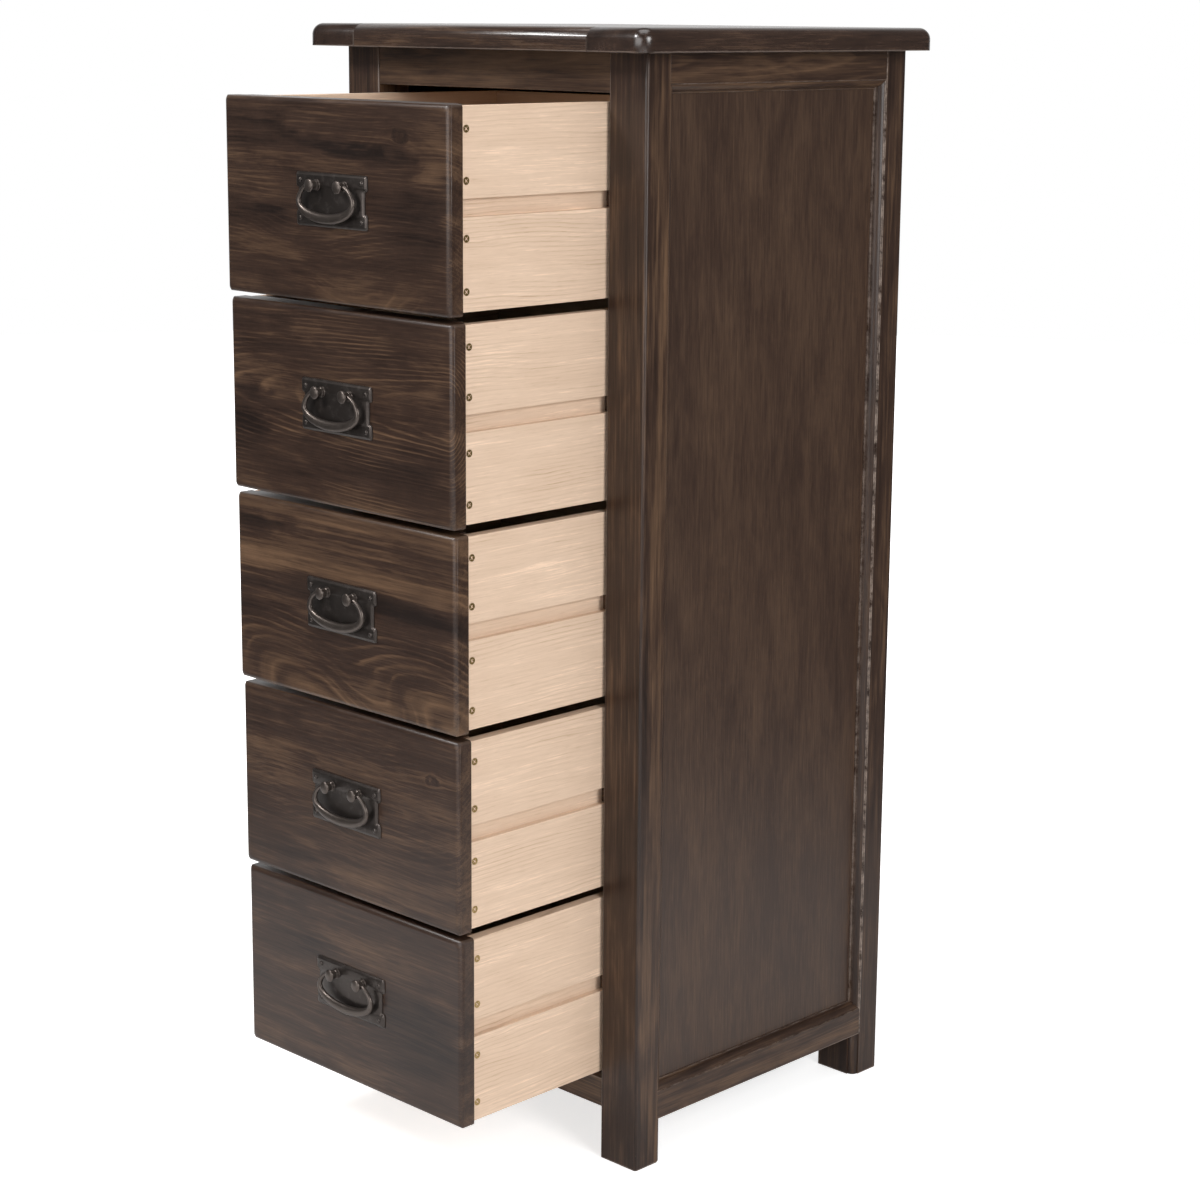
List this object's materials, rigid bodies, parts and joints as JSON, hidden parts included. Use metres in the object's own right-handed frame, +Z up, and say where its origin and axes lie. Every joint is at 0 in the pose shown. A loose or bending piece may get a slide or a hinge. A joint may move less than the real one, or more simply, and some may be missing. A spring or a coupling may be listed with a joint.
{
  "type": "tallboy",
  "caption": "Tall narrow pine chest of drawers on square legs, panelled sides, overhanging breadboard top, drawers on wooden runners with drop bail handles",
  "frame": {"origin": "on the floor, at the middle of the bounding box of the chest with its drawers part open as pictured", "axes": "+X to the right of someone facing the chest, -Y out of its front, +Z up"},
  "size_m": [0.49, 0.624, 1.15],
  "materials": {
    "stained_pine": "satin dark-brown stain under lacquer",
    "stained_panel": "satin dark-brown stain under lacquer",
    "drawer_front_pine": "satin dark-brown stain under lacquer",
    "pale_pine": "bare planed pine",
    "pale_ply": "bare plywood",
    "antique_bronze": "dark antique bronze, rubbed on the high spots",
    "screw_brass": "passivated yellow"
  },
  "bodies": {
    "carcass": {"top_board": "stained_pine", "top_end_left": "stained_pine", "top_end_right": "stained_pine", "leg_front_left": "stained_pine", "leg_front_right": "stained_pine", "leg_back_left": "stained_pine", "leg_back_right": "stained_pine", "side_rail_top_left": "stained_pine", "side_rail_low_left": "stained_pine", "side_rail_top_right": "stained_pine", "side_rail_low_right": "stained_pine", "side_panel_left": "stained_panel", "side_panel_right": "stained_panel", "front_rail_top": "stained_pine", "front_rail_low": "stained_pine", "back_rails": "stained_pine", "back_panel": "stained_panel", "top_cleats": "pale_pine", "drawer_runners": "stained_pine", "carcass_screws": "screw_brass"},
    "drawer_1": {"drawer_front_1": "drawer_front_pine", "drawer_sides_1": "pale_pine", "drawer_back_1": "pale_pine", "drawer_bottom_1": "pale_ply", "drawer_screws_1": "screw_brass", "handle_plate_1": "antique_bronze", "handle_posts_1": "antique_bronze"},
    "drawer_2": {"drawer_front_2": "drawer_front_pine", "drawer_sides_2": "pale_pine", "drawer_back_2": "pale_pine", "drawer_bottom_2": "pale_ply", "drawer_screws_2": "screw_brass", "handle_plate_2": "antique_bronze", "handle_posts_2": "antique_bronze"},
    "drawer_3": {"drawer_front_3": "drawer_front_pine", "drawer_sides_3": "pale_pine", "drawer_back_3": "pale_pine", "drawer_bottom_3": "pale_ply", "drawer_screws_3": "screw_brass", "handle_plate_3": "antique_bronze", "handle_posts_3": "antique_bronze"},
    "drawer_4": {"drawer_front_4": "drawer_front_pine", "drawer_sides_4": "pale_pine", "drawer_back_4": "pale_pine", "drawer_bottom_4": "pale_ply", "drawer_screws_4": "screw_brass", "handle_plate_4": "antique_bronze", "handle_posts_4": "antique_bronze"},
    "drawer_5": {"drawer_front_5": "drawer_front_pine", "drawer_sides_5": "pale_pine", "drawer_back_5": "pale_pine", "drawer_bottom_5": "pale_ply", "drawer_screws_5": "screw_brass", "handle_plate_5": "antique_bronze", "handle_posts_5": "antique_bronze"},
    "bail_1": {"bail_1": "antique_bronze"},
    "bail_2": {"bail_2": "antique_bronze"},
    "bail_3": {"bail_3": "antique_bronze"},
    "bail_4": {"bail_4": "antique_bronze"},
    "bail_5": {"bail_5": "antique_bronze"}
  },
  "joints": [
    {"name": "drawer_1_slide", "type": "slide", "parent": "carcass", "child": "drawer_1", "axis": [0, -1, 0], "range_m": [-0.194, 0.096]},
    {"name": "drawer_2_slide", "type": "slide", "parent": "carcass", "child": "drawer_2", "axis": [0, -1, 0], "range_m": [-0.191, 0.099]},
    {"name": "drawer_3_slide", "type": "slide", "parent": "carcass", "child": "drawer_3", "axis": [0, -1, 0], "range_m": [-0.188, 0.102]},
    {"name": "drawer_4_slide", "type": "slide", "parent": "carcass", "child": "drawer_4", "axis": [0, -1, 0], "range_m": [-0.185, 0.105]},
    {"name": "drawer_5_slide", "type": "slide", "parent": "carcass", "child": "drawer_5", "axis": [0, -1, 0], "range_m": [-0.182, 0.108]},
    {"name": "bail_1_swing", "type": "hinge", "parent": "drawer_1", "child": "bail_1", "pos_m": [0, -0.30662, 0.9997], "axis": [-1, 0, 0], "range_deg": [-4, 90]},
    {"name": "bail_2_swing", "type": "hinge", "parent": "drawer_2", "child": "bail_2", "pos_m": [0, -0.30362, 0.8001], "axis": [-1, 0, 0], "range_deg": [-4, 90]},
    {"name": "bail_3_swing", "type": "hinge", "parent": "drawer_3", "child": "bail_3", "pos_m": [0, -0.30062, 0.6005], "axis": [-1, 0, 0], "range_deg": [-4, 90]},
    {"name": "bail_4_swing", "type": "hinge", "parent": "drawer_4", "child": "bail_4", "pos_m": [0, -0.29762, 0.4009], "axis": [-1, 0, 0], "range_deg": [-4, 90]},
    {"name": "bail_5_swing", "type": "hinge", "parent": "drawer_5", "child": "bail_5", "pos_m": [0, -0.29462, 0.2013], "axis": [-1, 0, 0], "range_deg": [-4, 90]}
  ]
}
